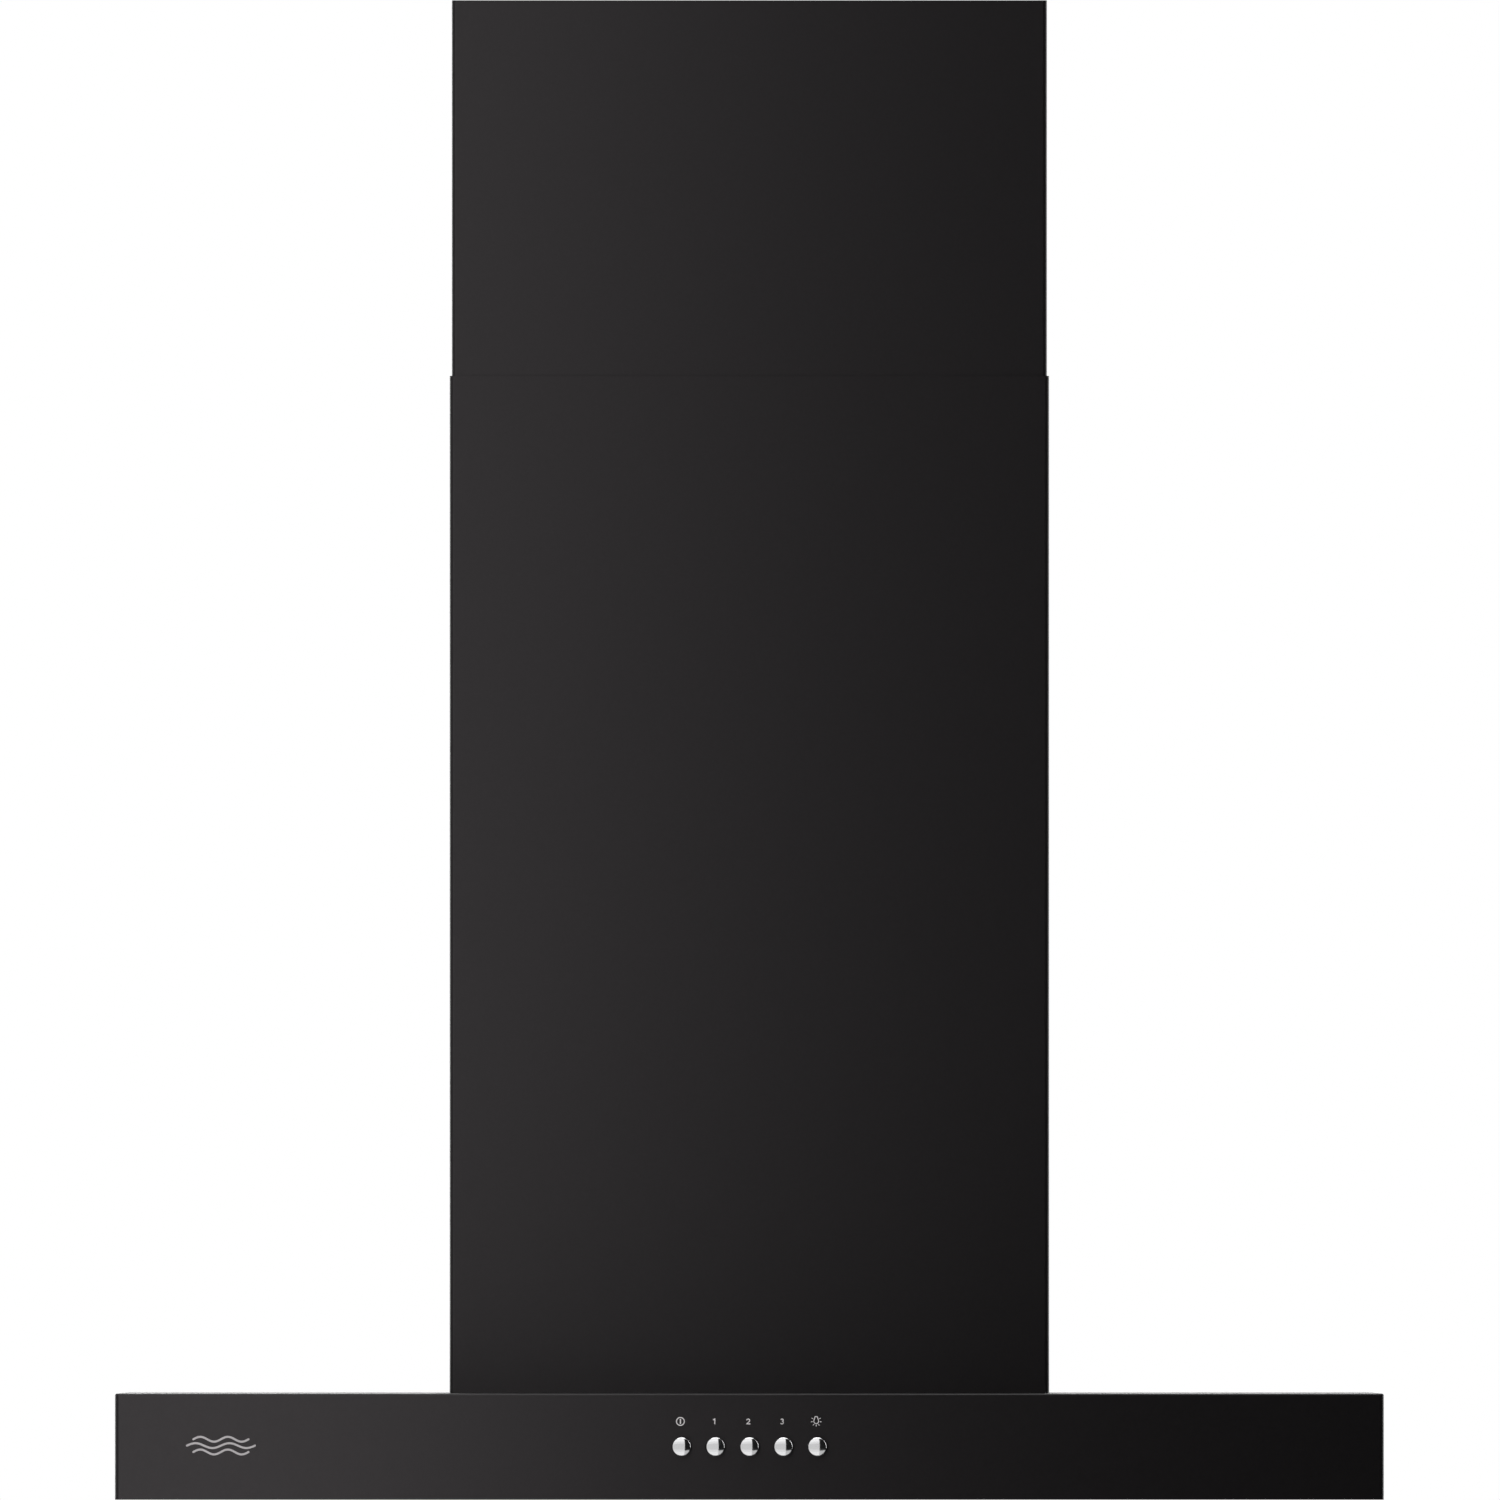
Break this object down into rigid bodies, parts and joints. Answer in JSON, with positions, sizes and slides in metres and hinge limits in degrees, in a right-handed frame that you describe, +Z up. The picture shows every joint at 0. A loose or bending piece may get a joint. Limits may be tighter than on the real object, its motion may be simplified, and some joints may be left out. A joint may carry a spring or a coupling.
{
  "type": "island range hood",
  "caption": "Ceiling-hung range hood with a flat square box canopy, a two-part telescoping square chimney and a row of round push buttons on the front edge.",
  "frame": {"origin": "centre of the ceiling plate's bolt pattern, in the ceiling plane at the top of the part", "axes": "+Z up along the bolt pattern's axis into the ceiling, front face with the buttons towards -Y, +X to the right seen from the front"},
  "size_m": [0.598, 0.6014, 0.71],
  "materials": {
    "satin_black_lacquer": "satin black powder coat",
    "zinc_plated_steel": "zinc-plated frame steel",
    "zinc_screws": "zinc-plated fasteners",
    "black_screws": "blackened screw heads",
    "chrome_caps": "polished chrome",
    "spring_steel": "drawn spring wire",
    "black_plastic": "moulded black plastic",
    "grey_plastic": "moulded grey plastic",
    "galvanised_sheet": "thin galvanised sheet",
    "white_plastic": "moulded white plastic",
    "filter_aluminium": "rolled aluminium",
    "lamp_bezel": "brushed lamp ring",
    "frosted_lens": "frosted lens",
    "cast_aluminium": "cast heat sink and capacitor can",
    "motor_steel": "painted motor can",
    "printed_ink": "screen-printed grey ink",
    "ground_steel": "ground shaft"
  },
  "bodies": {
    "ceiling_frame": {"ceiling_plate": "zinc_plated_steel", "upper_frame_legs": "zinc_plated_steel", "upper_frame_bolts": "zinc_screws", "upper_chimney_front": "satin_black_lacquer", "upper_chimney_rear": "satin_black_lacquer", "chimney_screws": "black_screws"},
    "hood": {"adapter_screws": "zinc_screws", "blower_housing_left": "grey_plastic", "blower_housing_right": "grey_plastic", "bottom_pan": "satin_black_lacquer", "button_guide": "black_plastic", "button_springs": "spring_steel", "cable_gland": "black_plastic", "canopy_shell": "satin_black_lacquer", "capacitor": "cast_aluminium", "chimney_foot_screws": "zinc_screws", "foot_bolts": "zinc_screws", "frame_brace": "zinc_plated_steel", "housing_screws": "zinc_screws", "inlet_grille": "grey_plastic", "lamp_bezels": "lamp_bezel", "lamp_lenses": "frosted_lens", "lamp_modules": "cast_aluminium", "led_driver": "white_plastic", "lower_chimney_front": "satin_black_lacquer", "lower_chimney_rear": "satin_black_lacquer", "lower_frame_legs": "zinc_plated_steel", "motor_body": "motor_steel", "motor_box": "zinc_plated_steel", "motor_bracket": "zinc_plated_steel", "mounting_plate": "zinc_plated_steel", "outlet_adapter": "black_plastic", "outlet_spigot": "black_plastic", "pan_screws": "black_screws", "plate_screws": "zinc_screws", "switch_cover": "black_plastic", "switch_housing": "black_plastic", "terminal_block": "white_plastic", "terminal_box": "black_plastic", "terminal_cover": "black_plastic"},
    "button_off_key": {"button_off": "chrome_caps"},
    "button_speed_1_key": {"button_speed_1": "chrome_caps"},
    "button_speed_2_key": {"button_speed_2": "chrome_caps"},
    "button_speed_3_key": {"button_speed_3": "chrome_caps"},
    "button_light_key": {"button_light": "chrome_caps"},
    "filter_left": {"filter_frame_left": "filter_aluminium", "filter_mesh_left": "filter_aluminium", "latch_housing_left": "black_plastic", "latch_spring_left": "spring_steel"},
    "latch_left": {"latch_slider_left": "black_plastic"},
    "filter_right": {"filter_frame_right": "filter_aluminium", "filter_mesh_right": "filter_aluminium", "latch_housing_right": "black_plastic", "latch_spring_right": "spring_steel"},
    "latch_right": {"latch_slider_right": "black_plastic"},
    "blower_wheel": {"fan_wheel": "galvanised_sheet", "fan_blades": "galvanised_sheet", "motor_shaft": "ground_steel"},
    "flap_front": {"check_flap_front": "black_plastic"},
    "flap_rear": {"check_flap_rear": "black_plastic"}
  },
  "joints": [
    {"name": "height_adjust", "type": "slide", "parent": "ceiling_frame", "child": "hood", "axis": [0, 0, -1], "range_m": [-0.15, 0.22]},
    {"name": "button_off_press", "type": "slide", "parent": "hood", "child": "button_off_key", "axis": [0, 1, 0], "range_m": [0, 0.003], "stiffness_N_per_m": 350, "deforming": ["button_springs"]},
    {"name": "button_speed_1_press", "type": "slide", "parent": "hood", "child": "button_speed_1_key", "axis": [0, 1, 0], "range_m": [0, 0.003], "stiffness_N_per_m": 350, "deforming": ["button_springs"]},
    {"name": "button_speed_2_press", "type": "slide", "parent": "hood", "child": "button_speed_2_key", "axis": [0, 1, 0], "range_m": [0, 0.003], "stiffness_N_per_m": 350, "deforming": ["button_springs"]},
    {"name": "button_speed_3_press", "type": "slide", "parent": "hood", "child": "button_speed_3_key", "axis": [0, 1, 0], "range_m": [0, 0.003], "stiffness_N_per_m": 350, "deforming": ["button_springs"]},
    {"name": "button_light_press", "type": "slide", "parent": "hood", "child": "button_light_key", "axis": [0, 1, 0], "range_m": [0, 0.003], "stiffness_N_per_m": 350, "deforming": ["button_springs"]},
    {"name": "filter_left_hinge", "type": "hinge", "parent": "hood", "child": "filter_left", "pos_m": [-0.133, 0.192, -0.6994], "axis": [1, 0, 0], "range_deg": [0, 85]},
    {"name": "latch_left_slide", "type": "slide", "parent": "filter_left", "child": "latch_left", "axis": [0, 1, 0], "range_m": [-0.004, 0], "stiffness_N_per_m": 150, "springref_m": -0.006, "deforming": ["latch_spring_left"]},
    {"name": "filter_right_hinge", "type": "hinge", "parent": "hood", "child": "filter_right", "pos_m": [0.133, 0.192, -0.6994], "axis": [1, 0, 0], "range_deg": [0, 85]},
    {"name": "latch_right_slide", "type": "slide", "parent": "filter_right", "child": "latch_right", "axis": [0, 1, 0], "range_m": [-0.004, 0], "stiffness_N_per_m": 150, "springref_m": -0.006, "deforming": ["latch_spring_right"]},
    {"name": "fan_spin", "type": "hinge", "parent": "hood", "child": "blower_wheel", "pos_m": [0, -0.012, -0.54], "axis": [1, 0, 0], "continuous": true},
    {"name": "flap_front_swing", "type": "hinge", "parent": "hood", "child": "flap_front", "pos_m": [0, -0.005, -0.372], "axis": [-1, 0, 0], "range_deg": [0, 80]},
    {"name": "flap_rear_swing", "type": "hinge", "parent": "hood", "child": "flap_rear", "pos_m": [0, 0.005, -0.372], "axis": [1, 0, 0], "range_deg": [0, 80]}
  ]
}
